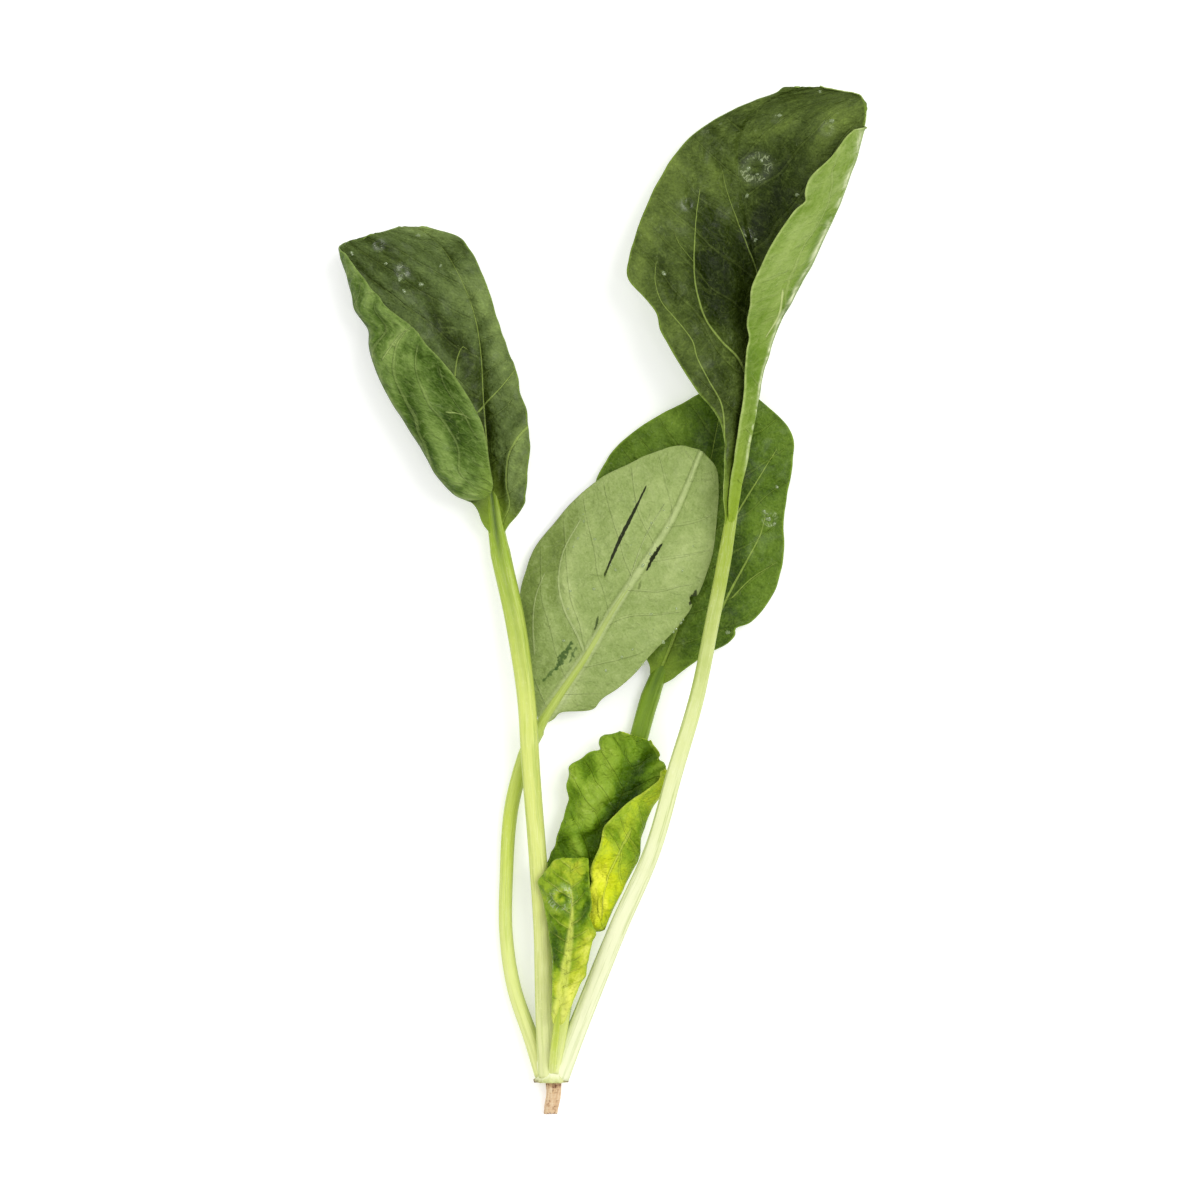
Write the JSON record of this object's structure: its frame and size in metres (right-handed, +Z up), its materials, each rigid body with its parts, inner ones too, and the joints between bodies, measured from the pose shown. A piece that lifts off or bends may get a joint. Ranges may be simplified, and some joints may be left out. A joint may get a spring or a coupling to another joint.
{
  "type": "spinach bunch",
  "caption": "Young spinach plant pulled whole and lying flat: spoon-shaped leaves on long pale stalks fan out from one crown with a pink root stub.",
  "frame": {"origin": "centre of the small flat spot under the crown on which the plant rests, so z = 0 is the surface it lies on", "axes": "+Y along the plant from the crown to the tip of its tallest leaf, +X to the right seen from above, +Z up from the surface"},
  "size_m": [0.115, 0.2241, 0.0208],
  "materials": {
    "dark_blade": "upper side of a grown leaf: dark green, waxy satin, with sunken pale veins",
    "leaf_underside": "underside of a leaf: pale matt green with raised veins",
    "young_blade": "young leaf: bright green, puckered, satin",
    "pale_stalk": "stalk: smooth and moist, yellow-green turning pale towards the crown",
    "green_stalk": "stalk: smooth and moist, mid green",
    "young_stalk": "young stalk: smooth, pale yellow-green",
    "crown": "crown: pale yellow-green with brown scars of old leaf bases",
    "root": "tap root: pinkish brown skin, matt"
  },
  "bodies": {
    "root": {"tall_leaf_stem": "pale_stalk", "tall_leaf_blade": "dark_blade", "creased_leaf_stem": "pale_stalk", "creased_leaf_blade": "dark_blade", "turned_leaf_stem": "pale_stalk", "turned_leaf_blade": "leaf_underside", "lowest_leaf_stem": "green_stalk", "lowest_leaf_blade": "dark_blade", "young_leaf_stem": "young_stalk", "young_leaf_blade": "young_blade", "youngest_leaf_stem": "young_stalk", "youngest_leaf_blade": "young_blade", "crown": "crown", "root_stub": "root"}
  },
  "joints": []
}
